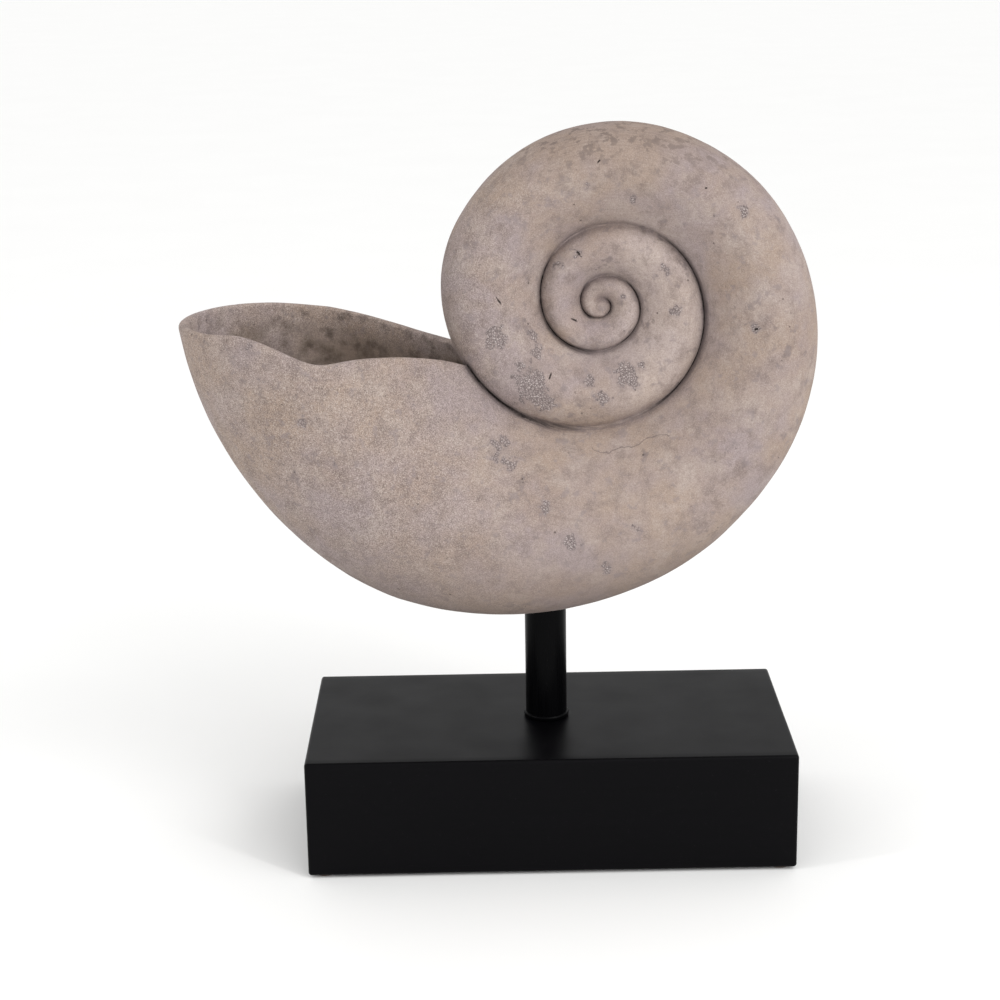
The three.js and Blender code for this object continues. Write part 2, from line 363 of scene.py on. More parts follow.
# Where the coat has worn through: turn, angle round the section, radius in mm, and how far
# through. The near side's angles are negative, and the far side's are positive.
worn_patches = [
    (1.03, -1.47, 9, 1), (1.115, -1.48, 15, 1), (1.15, -1.2, 11, 1), (1.052, -2.2, 5, 1),
    (1.09, -2, 6, 1), (1.216, -1.85, 8, 0.85), (1.31, -1.8, 10, 1), (1.345, -1.82, 7, 0.9),
    (1.25, -1.5, 8, 0.8),
    (0.77, -1.59, 6, 0.9), (0.71, -1.92, 5, 0.85), (1.6, -1.38, 10, 0.8), (1.5, -1.5, 9, 0.8),
    (0.142, -2.32, 9, 1), (0.16, -2.2, 7, 0.95), (0.224, -1.55, 8, 0.95), (1.86, -1.1, 8, 0.9),
    (1.81, -1.2, 5, 0.9), (0.354, -1.61, 8, 0.8), (0.484, -1.71, 5, 0.9), (0.2, -1.88, 6, 0.85),
    (0.046, -1.31, 6, 0.95), (0.07, -1.36, 5, 0.9), (0.006, -1.1, 9, 0.8), (0.022, -1.17, 8, 0.8),
    (0.25, -1.15, 14, 0.75), (0.27, -1.5, 12, 0.7), (0.6, -1.13, 10, 0.75), (2.6, -1.5, 6, 0.75),
    (1.08, 1.6, 12, 1), (1.12, 1.9, 9, 1), (1.4, 1.5, 9, 0.9), (0.2, 1.9, 11, 1), (0.24, 1.5, 8, 0.9),
    (0.62, 1.4, 10, 0.9), (0.8, 1.8, 7, 0.9), (0.42, 1.3, 9, 0.85), (0.06, 1.3, 9, 1), (0.1, 2, 7, 0.9),
]
# Points round each section, the turns where one length of coil ends in the next, and the
# rings of points along each length.
around = 128
coil_joints = [0.9, 1.82, 2.7, 3.3]
rings_of = {"hollow": 46, "rim": 8, "body": 270, "coil": [190, 110, 44]}


def group_with(name, inputs, outputs):
    """A geometry node group with named sockets, and the sockets that its inputs come from."""
    group = bpy.data.node_groups.new(name, "GeometryNodeTree")
    for end, sockets in (("INPUT", inputs), ("OUTPUT", outputs)):
        for label, kind in sockets.items():
            group.interface.new_socket(label, in_out=end, socket_type="NodeSocket" + kind)
    return group, add(group, "NodeGroupInput").outputs


# Each of the three curves gets a group that reads it at a turn. The spiral's radius is
# held as its departure from a true logarithmic spiral, which changes slowly. A curve node
# holds values from 0 to 1, so each curve is divided by the number beside it.
departures = [(turn, radius / (mouth_radius * growth_per_turn ** -turn))
              for turn, radius in outer_edge]
curves = {
    "Spiral departure": (departures, 1.25),
    "Width share": ([(turn, width / mouth_half_width) for turn, width in half_width], 1.0),
    "Section power": (section_power, 2.5),
}
readers = {}
for name, (points, top) in curves.items():
    group, given = group_with(name, {"Turn": "Float"}, {"Value": "Float"})
    share = add(group, MATH, [given["Turn"], coil_turns], operation="DIVIDE")
    curve = add(group, "ShaderNodeFloatCurve", {"Value": share})
    line = curve.mapping.curves[0]
    for turn, value in points[1:-1]:
        line.points.new(turn / coil_turns, value / top)
    line.points[0].location = (0, points[0][1] / top)
    line.points[-1].location = (1, points[-1][1] / top)
    curve.mapping.update()
    value = add(group, MATH, [curve, top], operation="MULTIPLY")
    add(group, "NodeGroupOutput", [value])
    readers[name] = group

# The radius of the outer edge at a turn.
sizes = {"Mouth radius": "Float", "Growth per turn": "Float"}
edge_radius, given = group_with("Edge radius", {"Turn": "Float", **sizes}, {"Radius": "Float"})
back = add(edge_radius, MATH, [given["Turn"], -1], operation="MULTIPLY")
fall = add(edge_radius, MATH, [given["Growth per turn"], back], operation="POWER")
true_spiral = add(edge_radius, MATH, [fall, given["Mouth radius"]], operation="MULTIPLY")
departure = add(edge_radius, "GeometryNodeGroup", [given["Turn"]],
                node_tree=readers["Spiral departure"])
radius = add(edge_radius, MATH, [true_spiral, departure], operation="MULTIPLY")
add(edge_radius, "NodeGroupOutput", [radius])

VECTOR_MATH = "ShaderNodeVectorMath"

# A point on the skin of a whorl. The angle runs round the section from its outer edge, an
# inset moves the point into the wall, and a shrink draws the whole section together.
sizes = {"Coil centre": "Vector", "Mouth radius": "Float", "Growth per turn": "Float",
         "Mouth half width": "Float", "Seat": "Float", "Pinch": "Float"}
skin, given = group_with(
    "Whorl skin", {"Turn": "Float", "Angle": "Float", "Inset": "Float", "Shrink": "Float", **sizes},
    {"Position": "Vector"})
edges = []
for later in (0, 1, 2):
    turn = add(skin, MATH, [given["Turn"], later])
    edges.append(add(skin, "GeometryNodeGroup",
                     [turn, given["Mouth radius"], given["Growth per turn"]], node_tree=edge_radius))
drop = add(skin, MATH, [edges[1], edges[2]], operation="SUBTRACT")
half_seat = add(skin, MATH, [given["Seat"], -0.5], operation="MULTIPLY")
inner_edge = add(skin, MATH, [drop, half_seat, edges[1]], operation="MULTIPLY_ADD")
outer = add(skin, MATH, [edges[0], given["Inset"]], operation="SUBTRACT")
inner = add(skin, MATH, [inner_edge, given["Inset"]])
cosine = add(skin, MATH, [given["Angle"]], operation="COSINE")
sine = add(skin, MATH, [given["Angle"]], operation="SINE")
drawn = add(skin, MATH, [cosine, given["Shrink"]], operation="MULTIPLY")
share = add(skin, MATH, [drawn, 0.5, 0.5], operation="MULTIPLY_ADD")
reach = add(skin, "ShaderNodeMix", {0: share, 2: inner, 3: outer}, clamp_factor=False)
side = add(skin, MATH, [sine], operation="SIGN")
size = add(skin, MATH, [cosine], operation="ABSOLUTE")
power = add(skin, "GeometryNodeGroup", [given["Turn"]], node_tree=readers["Section power"])
flat = add(skin, MATH, [size, power], operation="POWER")
hollow = add(skin, MATH, [1.0, flat], operation="SUBTRACT", use_clamp=True)
bulge = add(skin, MATH, [hollow], operation="SQRT")
fuller = add(skin, MATH, [cosine, given["Pinch"], 1.0], operation="MULTIPLY_ADD")
width_share = add(skin, "GeometryNodeGroup", [given["Turn"]], node_tree=readers["Width share"])
minus_inset = add(skin, MATH, [given["Inset"], -1.0], operation="MULTIPLY")
width = add(skin, MATH, [width_share, given["Mouth half width"], minus_inset],
            operation="MULTIPLY_ADD")
across = width
for factor in (given["Shrink"], side, bulge, fuller):
    across = add(skin, MATH, [across, factor], operation="MULTIPLY")
direction = add(skin, MATH, [given["Turn"], math.tau, math.pi], operation="MULTIPLY_ADD")
legs = []
for swing in ("COSINE", "SINE"):
    leg = add(skin, MATH, [direction], operation=swing)
    legs.append(add(skin, MATH, [leg, reach], operation="MULTIPLY"))
arm = add(skin, "ShaderNodeCombineXYZ", {"X": legs[0], "Y": across, "Z": legs[1]})
arm = add(skin, VECTOR_MATH, [arm, given["Coil centre"]])
add(skin, "NodeGroupOutput", [arm])

# A length of whorl between two turns: rings of points, with a taper and a closed pole
# past its end, and past its start too where that is buried in the length before it.
length, given = group_with(
    "Length of whorl",
    {"From": "Float", "To": "Float", "Rings": "Int", "Buried start": "Int", "Overlap": "Float",
     **sizes},
    {"Mesh": "Geometry"})
buried = add(length, MATH, [given["Buried start"], 2.0], operation="MULTIPLY")
extra = add(length, MATH, [buried, 3.0])
count = add(length, MATH, [given["Rings"], extra])
grid = add(length, "GeometryNodeMeshGrid",
           {"Size X": 1.0, "Size Y": 1.0, "Vertices X": count, "Vertices Y": around + 1})
place = add(length, "ShaderNodeSeparateXYZ", [add(length, "GeometryNodeInputPosition")])
last = add(length, MATH, [count, -1.0])
ring = add(length, MATH, [add(length, MATH, [place.outputs["X"], 0.5]), last], operation="MULTIPLY")
ring = add(length, MATH, [ring, buried], operation="SUBTRACT")
share = add(length, MATH, [ring, given["Rings"]], operation="DIVIDE", use_clamp=True)
turn = add(length, "ShaderNodeMix", {0: share, 2: given["From"], 3: given["To"]})
past_end = add(length, MATH, [ring, given["Rings"]], operation="SUBTRACT")
before_start = add(length, MATH, [ring, -1.0], operation="MULTIPLY")
past = add(length, MATH, [past_end, 0.0], operation="MAXIMUM")
before = add(length, MATH, [before_start, 0.0], operation="MAXIMUM")
ahead = add(length, MATH, [past, 0.0], use_clamp=True)
behind = add(length, MATH, [before, 0.0], use_clamp=True)
beyond = add(length, MATH, [ahead, behind], operation="SUBTRACT")
turn = add(length, MATH, [beyond, given["Overlap"], turn], operation="MULTIPLY_ADD")
outside = add(length, MATH, [past, before])
taper = add(length, MAP_RANGE, {"Value": outside, "To Min": 1.0, "To Max": 0.85})
pole = add(length, MAP_RANGE,
           {"Value": outside, "From Min": 1.0, "From Max": 2.0, "To Min": 1.0, "To Max": 0.0})
shrink = add(length, MATH, [taper, pole], operation="MULTIPLY")
angle = add(length, MATH, [place.outputs["Y"], math.tau, math.pi], operation="MULTIPLY_ADD")
point = add(length, "GeometryNodeGroup",
            {"Turn": turn, "Angle": angle, "Shrink": shrink,
             **{label: given[label] for label in sizes}}, node_tree=skin)
laid = add(length, "GeometryNodeSetPosition", {"Geometry": grid.outputs["Mesh"], "Position": point})
add(length, "NodeGroupOutput", [laid])

# The whole casting: the open whorl with its hollow and lip, three more lengths of coil and
# the bud at the centre, joined into one body, with the hole for the post cut away.
casting, given = group_with(
    "Cast shell",
    {**sizes,
     **dict.fromkeys(("Lip thickness", "Wall thickness", "Hollow end", "Lip start", "Lip slope",
                      "Lip power", "Joint overlap", "Bud radius", "Bud reach", "Socket radius",
                      "Socket depth", "Coat seed"), "Float"),
     **dict.fromkeys(("Bud stretch", "Bud centre", "Socket centre"), "Vector"),
     "Material": "Material"},
    {"Geometry": "Geometry"})
shape = {label: given[label] for label in sizes}
where = add(casting, "ShaderNodeSeparateXYZ", [add(casting, "GeometryNodeInputPosition")])
share = add(casting, MATH, [where.outputs["X"], 0.5])
angle = add(casting, MATH, [where.outputs["Y"], math.tau, math.pi], operation="MULTIPLY_ADD")

# The lip lies nearly level at the outer edge and turns down towards the coil.
cosine = add(casting, MATH, [angle], operation="COSINE")
towards_coil = add(casting, MATH, [cosine, -0.5, 0.5], operation="MULTIPLY_ADD", use_clamp=True)
lowered = add(casting, MATH, [towards_coil, given["Lip power"]], operation="POWER")
lip_turn = add(casting, MATH, [lowered, given["Lip slope"], given["Lip start"]],
               operation="MULTIPLY_ADD")
for centre, drop, spread in lip_waves:
    away = add(casting, MATH, [angle, centre], operation="SUBTRACT")
    away = add(casting, MATH, [away, math.pi, -math.pi], operation="WRAP")
    away = add(casting, MATH, [away, spread], operation="DIVIDE")
    square = add(casting, MATH, [away, away], operation="MULTIPLY")
    fading = add(casting, MATH, [square, -1.0], operation="MULTIPLY")
    wave = add(casting, MATH, [fading], operation="EXPONENT")
    lip_turn = add(casting, MATH, [wave, drop, lip_turn], operation="MULTIPLY_ADD")
lip_radius = add(casting, "GeometryNodeGroup",
                 [lip_turn, given["Mouth radius"], given["Growth per turn"]], node_tree=edge_radius)
half_lip = add(casting, MATH, [given["Lip thickness"], 0.5 / math.tau], operation="MULTIPLY")
rim_reach = add(casting, MATH, [half_lip, lip_radius], operation="DIVIDE")
behind_lip = add(casting, MATH, [lip_turn, rim_reach])

# The hollow: from its closed end up to the lip, where its wall thins to the lip's.
depth = add(casting, MATH, [1.0, share], operation="SUBTRACT")
hollow_turn = add(casting, "ShaderNodeMix", {0: depth, 2: behind_lip, 3: given["Hollow end"]})
wall = add(casting, MAP_RANGE,
           {"Value": hollow_turn, "From Min": 0.07, "From Max": 0.2, "To Min": given["Lip thickness"],
            "To Max": given["Wall thickness"]}, interpolation_type="SMOOTHSTEP")
closing = add(casting, MAP_RANGE, {"Value": depth, "From Min": 0.8})
square = add(casting, MATH, [closing, closing], operation="MULTIPLY")
left = add(casting, MATH, [1.0, square], operation="SUBTRACT", use_clamp=True)
open_share = add(casting, MATH, [left], operation="SQRT")

# The rim: half a circle from the hollow over to the outside.
bend = add(casting, MATH, [share, math.pi], operation="MULTIPLY")
height = add(casting, MATH, [bend], operation="SINE")
below = add(casting, MATH, [1.0, height], operation="SUBTRACT")
rim_turn = add(casting, MATH, [below, rim_reach, lip_turn], operation="MULTIPLY_ADD")
through = add(casting, MATH, [bend], operation="COSINE")
through = add(casting, MATH, [through, 0.5, 0.5], operation="MULTIPLY_ADD")
rim_inset = add(casting, MATH, [through, given["Lip thickness"]], operation="MULTIPLY")

cup = []
for rings, turn, inset, shrink in ((rings_of["hollow"], hollow_turn, wall, open_share),
                                   (rings_of["rim"], rim_turn, rim_inset, 1.0)):
    grid = add(casting, "GeometryNodeMeshGrid",
               {"Size X": 1.0, "Size Y": 1.0, "Vertices X": rings + 1, "Vertices Y": around + 1})
    point = add(casting, "GeometryNodeGroup",
                {"Turn": turn, "Angle": angle, "Inset": inset, "Shrink": shrink, **shape},
                node_tree=skin)
    cup.append(add(casting, "GeometryNodeSetPosition",
                   {"Geometry": grid.outputs["Mesh"], "Position": point}))

lengths = []
starts = [behind_lip] + coil_joints[:-1]
for rings, start, end in zip([rings_of["body"]] + rings_of["coil"], starts, coil_joints):
    is_buried = int(start is not behind_lip)
    lengths.append(add(casting, "GeometryNodeGroup",
                       {"From": start, "To": end, "Rings": rings, "Buried start": is_buried,
                        "Overlap": given["Joint overlap"], **shape}, node_tree=length))
open_whorl = add(casting, "GeometryNodeJoinGeometry")
for part in [lengths[0]] + cup:
    casting.links.new(part.outputs[0], open_whorl.inputs[0])
bud = add(casting, "GeometryNodeMeshUVSphere",
          {"Segments": 40, "Rings": 24, "Radius": given["Bud radius"]})
bud = add(casting, "GeometryNodeTransform",
          {"Geometry": bud.outputs["Mesh"], "Translation": given["Bud centre"],
           "Scale": given["Bud stretch"]})
union = add(casting, "GeometryNodeMeshBoolean", operation="UNION", solver="MANIFOLD")
for part in [open_whorl] + lengths[1:]:
    welded = add(casting, "GeometryNodeMergeByDistance",
                 {"Geometry": part.outputs[0], "Distance": 0.01 * MM})
    outwards = add(casting, "GeometryNodeFlipFaces", {"Mesh": welded})
    casting.links.new(outwards.outputs[0], union.inputs["Mesh 2"])
casting.links.new(bud.outputs[0], union.inputs["Mesh 2"])
drill = add(casting, "GeometryNodeMeshCylinder",
            {"Vertices": 64, "Radius": given["Socket radius"], "Depth": given["Socket depth"]})
drill = add(casting, "GeometryNodeTransform",
            {"Geometry": drill.outputs["Mesh"], "Translation": given["Socket centre"]})
drilled = add(casting, "GeometryNodeMeshBoolean", {"Mesh 1": union.outputs["Mesh"], "Mesh 2": drill},
              operation="DIFFERENCE", solver="MANIFOLD")
# The smallest slivers left where two skins cross are closed up.
body = add(casting, "GeometryNodeMergeByDistance",
           {"Geometry": drilled.outputs["Mesh"], "Distance": 0.02 * MM}).outputs["Geometry"]

# The groove is the fold that runs round the coil. Folds across a whorl, where two lengths
# meet, don't count, and at the centre only the bud's right side is open.
fold_angle = -0.4
least_run_round = 0.5
bud_open_side = 3 * MM
position = add(casting, "GeometryNodeInputPosition")
from_centre = add(casting, VECTOR_MATH, [position, given["Coil centre"]], operation="SUBTRACT")
heading = add(casting, VECTOR_MATH, [from_centre], operation="NORMALIZE")
along_coil = add(casting, VECTOR_MATH, [heading, (0, 1, 0)], operation="CROSS_PRODUCT")
ends = add(casting, "GeometryNodeInputMeshEdgeVertices").outputs
run = add(casting, VECTOR_MATH, [ends["Position 2"], ends["Position 1"]], operation="SUBTRACT")
run = add(casting, VECTOR_MATH, [run], operation="NORMALIZE")
run = add(casting, VECTOR_MATH, [run, along_coil], operation="DOT_PRODUCT").outputs["Value"]
run = add(casting, MATH, [run], operation="ABSOLUTE")
fold = add(casting, "GeometryNodeInputMeshEdgeAngle").outputs["Signed Angle"]
is_groove = add(casting, "FunctionNodeCompare", {0: fold, 1: fold_angle}, operation="LESS_THAN")
is_round = add(casting, "FunctionNodeCompare", {0: run, 1: least_run_round}, operation="GREATER_THAN")
is_groove = add(casting, "FunctionNodeBooleanMath", [is_groove, is_round], operation="AND")
reach = add(casting, VECTOR_MATH, [from_centre], operation="LENGTH").outputs["Value"]
sideways = add(casting, "ShaderNodeSeparateXYZ", [from_centre]).outputs["X"]
is_outer = add(casting, "FunctionNodeCompare", {0: reach, 1: given["Bud reach"]},
               operation="GREATER_THAN")
is_right = add(casting, "FunctionNodeCompare", {0: sideways, 1: bud_open_side},
               operation="GREATER_THAN")
is_open = add(casting, "FunctionNodeBooleanMath", [is_outer, is_right], operation="OR")
is_groove = add(casting, "FunctionNodeBooleanMath", [is_groove, is_open], operation="AND")

# The coat's finish reads how far each point is from the groove, on which side of it, how
# far from the hollow's skin and from the lip, and how near to a worn patch. The groove and
# hollow ones place the painted shade.
groove = add(casting, "GeometryNodeSeparateGeometry", [body, is_groove], domain="EDGE")
groove = add(casting, "GeometryNodeProximity", {0: groove.outputs["Selection"]}, target_element="EDGES")
outwards = add(casting, VECTOR_MATH, [position, groove.outputs["Position"]], operation="SUBTRACT")
outwards = add(casting, VECTOR_MATH, [outwards], operation="NORMALIZE")
outwards = add(casting, VECTOR_MATH, [outwards, heading], operation="DOT_PRODUCT").outputs["Value"]
inside = add(casting, "GeometryNodeProximity", {0: cup[0]}, target_element="FACES")
lip = add(casting, "GeometryNodeProximity", {0: cup[1]}, target_element="FACES")
worn = None
for turn, angle, radius, depth in worn_patches:
    centre = add(casting, "GeometryNodeGroup",
                 {"Turn": turn, "Angle": angle, "Inset": 0.0, "Shrink": 1.0, **shape}, node_tree=skin)
    distance = add(casting, VECTOR_MATH, [position, centre], operation="DISTANCE")
    nearness = add(casting, MATH, [distance.outputs["Value"], -1 / (2 * radius * MM), depth],
                   operation="MULTIPLY_ADD")
    worn = nearness if worn is None else add(casting, MATH, [worn, nearness, 0.3],
                                             operation="SMOOTH_MAX")
for name, value in (("groove distance", groove.outputs["Distance"]), ("groove side", outwards),
                    ("hollow distance", inside.outputs["Distance"]),
                    ("lip distance", lip.outputs["Distance"]), ("worn", worn)):
    held = add(casting, "GeometryNodeStoreNamedAttribute",
               {"Geometry": body, "Name": name, "Value": value})
    body = held.outputs["Geometry"]

# The coat fills the groove softly above and below the coil, where the trowel could reach,
# and hides the bud's left side.
near_groove = add(casting, "GeometryNodeInputNamedAttribute", {"Name": "groove distance"})
near_groove = add(casting, MAP_RANGE,
                  {"Value": near_groove.outputs["Attribute"], "From Max": 8 * MM,
                   "To Min": 1.0, "To Max": 0.0}, interpolation_type="SMOOTHSTEP")
upright = add(casting, "ShaderNodeSeparateXYZ", [heading])
upright = add(casting, MATH, [upright.outputs["Z"]], operation="ABSOLUTE")
filled = add(casting, MAP_RANGE,
             {"Value": upright, "From Min": 0.7, "From Max": 0.95, "To Min": 0.03, "To Max": 0.9})
filled = add(casting, MATH, [filled, near_groove], operation="MULTIPLY")
near_bud = add(casting, MAP_RANGE,
               {"Value": reach, "From Min": 8 * MM, "From Max": 15 * MM, "To Min": 1.0, "To Max": 0.0})
left_of_bud = add(casting, MAP_RANGE,
                  {"Value": sideways, "From Max": 4 * MM, "To Min": 1.0, "To Max": 0.0})
hidden = add(casting, MATH, [near_bud, left_of_bud], operation="MULTIPLY")
filled = add(casting, MATH, [filled, hidden], operation="MAXIMUM")
softened = add(casting, "GeometryNodeBlurAttribute",
               {"Value": position, "Iterations": 10, "Weight": filled}, data_type="FLOAT_VECTOR")
body = add(casting, "GeometryNodeSetPosition", {"Geometry": body, "Position": softened}).outputs[0]

# The hand-laid coat isn't even: broad swells, small lumps, and hollows at the worn patches.
normal = add(casting, "GeometryNodeInputNormal")
lift = 0.0
for swell_width, swell_height in ((70, 1.1), (22, 0.35), (7, 0.16)):
    swell = add(casting, "ShaderNodeTexNoise",
                {"W": given["Coat seed"], "Scale": 1 / (swell_width * MM), "Detail": 1.0},
                noise_dimensions="4D")
    swell = add(casting, MATH, [swell, -0.5])
    lift = add(casting, MATH, [swell, swell_height * MM, lift], operation="MULTIPLY_ADD")
sunk = add(casting, "GeometryNodeInputNamedAttribute", {"Name": "worn"})
ragged = add(casting, "ShaderNodeTexNoise",
             {"W": given["Coat seed"], "Scale": 1 / (8 * MM), "Detail": 3.0}, noise_dimensions="4D")
raggedness = 1.6
sunk = add(casting, MATH, [ragged, raggedness, sunk.outputs["Attribute"]], operation="MULTIPLY_ADD")
sunk = add(casting, MAP_RANGE,
           {"Value": sunk, "From Min": 1.3, "From Max": 1.6, "To Max": -0.4 * MM},
           interpolation_type="SMOOTHSTEP")
lift = add(casting, MATH, [lift, sunk])
lift = add(casting, VECTOR_MATH, {"Vector": normal, "Scale": lift}, operation="SCALE")
body = add(casting, "GeometryNodeSetPosition", {"Geometry": body, "Offset": lift}).outputs[0]

# Round skin is smooth, and only the grooves' floor and the socket's edge stay sharp.
body = add(casting, "GeometryNodeSetShadeSmooth", {"Geometry": body}).outputs[0]
crease_angle = 0.8
crease = add(casting, "GeometryNodeInputMeshEdgeAngle").outputs["Unsigned Angle"]
crease = add(casting, "FunctionNodeCompare", {0: crease, 1: crease_angle}, operation="GREATER_THAN")
body = add(casting, "GeometryNodeSetShadeSmooth",
           {"Geometry": body, "Selection": crease, "Shade Smooth": False}, domain="EDGE").outputs[0]
output = add(casting, "GeometryNodeRealizeInstances", {"Geometry": body})
output = add(casting, "GeometryNodeSetMaterial", {"Geometry": output, "Material": given["Material"]})
add(casting, "NodeGroupOutput", [output])

coil_centre = Vector(((block_low.x + block_high.x) / 2 + 34.7 * MM, 0, block_low.z + 338.3 * MM))
socket_gap = 0.3 * MM
socket_depth = 60 * MM
bud_radius = 6.4

# Cement stucco, trowelled on thin and rubbed back: quite matt, with a fine sandy grain, a
# slow drift between warm sand and lilac grey, darker and rougher where it has worn through
# to the cast body, and a brown tint inside the hollow. Shade is painted into the colour
# along the grooves, deeper into the hollow, towards the bottom and in pits and chips, and
# light is painted on the right of the inner coil.
stucco, tree = new_material("rubbed cement stucco")
spot = add(tree, "ShaderNodeTexCoord").outputs["Object"]

# The coat's uneven tones: lumps of noise so many mm wide, with the levels taken as 0 and 1.
# The sandy grain is finer on the real skin, and is drawn 0.65 mm wide so that it shows.
tones = {}
for name, width, detail, low, high in (
        ("drift", 62, 3, 0.4, 0.6), ("brown", 34, 4, 0.48, 0.68), ("pale", 17, 6, 0.48, 0.7),
        ("dull", 11, 7, 0.5, 0.68), ("mottle", 2.4, 5, 0.4, 0.68), ("ragged", 7, 7, 0.0, 1.0),
        ("blotch", 13, 5, 0.42, 0.62), ("swarm", 24, 3, 0.52, 0.75), ("grain", 0.65, 3, 0.36, 0.64)):
    texture = add(tree, "ShaderNodeTexNoise",
                  {"Vector": spot, "Scale": 1 / (width * MM), "Detail": detail, "Roughness": 0.62})
    tones[name] = add(tree, MAP_RANGE, {"Value": texture, "From Min": low, "From Max": high})
for name in ("groove distance", "groove side", "hollow distance", "lip distance", "worn"):
    tones[name] = add(tree, "ShaderNodeAttribute", attribute_name=name).outputs["Fac"]

# Where a point lies round the coil, and on which side of the casting.
place = add(tree, "ShaderNodeSeparateXYZ", [spot])
from_coil = add(tree, VECTOR_MATH, [spot, coil_centre], operation="SUBTRACT")
flattened = add(tree, VECTOR_MATH, [from_coil, (1, 0, 1)], operation="MULTIPLY")
tones["radius"] = add(tree, VECTOR_MATH, [flattened], operation="LENGTH").outputs["Value"]
facing = add(tree, VECTOR_MATH, [flattened], operation="NORMALIZE")
heading = add(tree, "ShaderNodeSeparateXYZ", [facing])
upright = add(tree, MATH, [heading.outputs["Z"], 0.12])
tones["upright"] = add(tree, MATH, [upright], operation="ABSOLUTE")
towards_lip = add(tree, VECTOR_MATH, [facing, (-0.7, 0, -0.7)], operation="DOT_PRODUCT")
tones["towards lip"] = towards_lip.outputs["Value"]
for axis in "XYZ":
    tones[axis] = place.outputs[axis]

# Trowel marks run round the coil: 1.1 mm apart and some 50 mm long.
mark_apart = 1.1 * MM
mark_squeeze = 2.4 * MM
across_x = add(tree, MATH, [heading.outputs["X"], mark_squeeze], operation="MULTIPLY")
across_z = add(tree, MATH, [heading.outputs["Z"], mark_squeeze], operation="MULTIPLY")
sweep = add(tree, "ShaderNodeCombineXYZ", [across_x, tones["radius"], across_z])
marks = add(tree, "ShaderNodeTexNoise",
            {"Vector": sweep, "W": place.outputs["Y"], "Scale": 1 / mark_apart, "Detail": 3.0},
            noise_dimensions="4D")
tones["marks"] = add(tree, MAP_RANGE, {"Value": marks, "From Min": 0.3, "From Max": 0.7})

# Worn patches have ragged edges and are crazed into cells 1.5 mm wide with dark joints.
tones["wear"] = add(tree, MATH, [tones["ragged"], raggedness, tones["worn"]],
                    operation="MULTIPLY_ADD")
cells = add(tree, "ShaderNodeTexVoronoi", {"Vector": spot, "Scale": 1 / (1.5 * MM)},
            feature="DISTANCE_TO_EDGE")
tones["cell edge"] = cells.outputs["Distance"]

# Scattered pits left by air bubbles, 0.7 to 1.5 mm wide, in loose swarms.
bubbles = add(tree, "ShaderNodeTexVoronoi", {"Vector": spot, "Scale": 1 / (4.5 * MM)})
tones["bubble"] = bubbles.outputs["Distance"]
chosen = add(tree, "ShaderNodeSeparateColor", [bubbles.outputs["Color"]])
tones["chosen"] = add(tree, MATH, [tones["swarm"], 0.5, chosen.outputs["Red"]],
                      operation="MULTIPLY_ADD")

# A few deep chips: place across and up, half length and half width in mm, and tilt.
chips = [(48, 374, 2.2, 0.8, -50), (45, 334, 2.4, 0.7, -30), (30, 302, 2.4, 0.6, 70),
         (59, 430, 1.6, 0.5, 50), (121, 414, 1.0, 0.6, 20), (0, 349, 2.6, 0.6, -60),
         (61.5, 340, 1.2, 0.5, 20), (151, 331, 1.6, 0.9, 30)]
nearest_chip = 9.0
for x, z, half_length, half_breadth, tilt in chips:
    chip = add(tree, VECTOR_MATH, [spot, (x * MM, 0, z * MM)], operation="SUBTRACT")
    chip = add(tree, "ShaderNodeVectorRotate", {"Vector": chip, "Angle": math.radians(tilt)},
               rotation_type="Y_AXIS")
    chip = add(tree, VECTOR_MATH,
               [chip, (1 / (half_length * MM), 0, 1 / (half_breadth * MM))], operation="MULTIPLY")
    chip = add(tree, VECTOR_MATH, [chip], operation="LENGTH").outputs["Value"]
    nearest_chip = add(tree, MATH, [chip, nearest_chip], operation="MINIMUM")
tones["chip"] = add(tree, MATH, [tones["mottle"], 0.7, nearest_chip], operation="MULTIPLY_ADD")

# One hairline crack runs under the coil on the near side.
crack_start = 54 * MM
crack_end = 101 * MM
crack_low = 250 * MM
crack_rise = 20 * MM
crack_share = add(tree, MAP_RANGE,
                  {"Value": tones["X"], "From Min": crack_start, "From Max": crack_end})
crack = add(tree, "ShaderNodeFloatCurve", {"Value": crack_share})
line = crack.mapping.curves[0]
for share, height in ((0.17, 0.3), (0.38, 0.45), (0.57, 0.5), (0.7, 0.7)):
    line.points.new(share, height)
line.points[0].location = (0, 0.45)
line.points[-1].location = (1, 0.85)
crack.mapping.update()
crack_height = add(tree, MATH, [crack, crack_rise, crack_low], operation="MULTIPLY_ADD")
off_line = add(tree, MATH, [place.outputs["Z"], crack_height], operation="SUBTRACT")
wander = add(tree, "ShaderNodeTexNoise", {"Vector": spot, "Scale": 1 / (4 * MM), "Detail": 3.0})
wander = add(tree, MATH, [wander, 3 * MM, -1.5 * MM], operation="MULTIPLY_ADD")
off_line = add(tree, MATH, [off_line, wander])
tones["off crack"] = add(tree, MATH, [off_line], operation="ABSOLUTE")

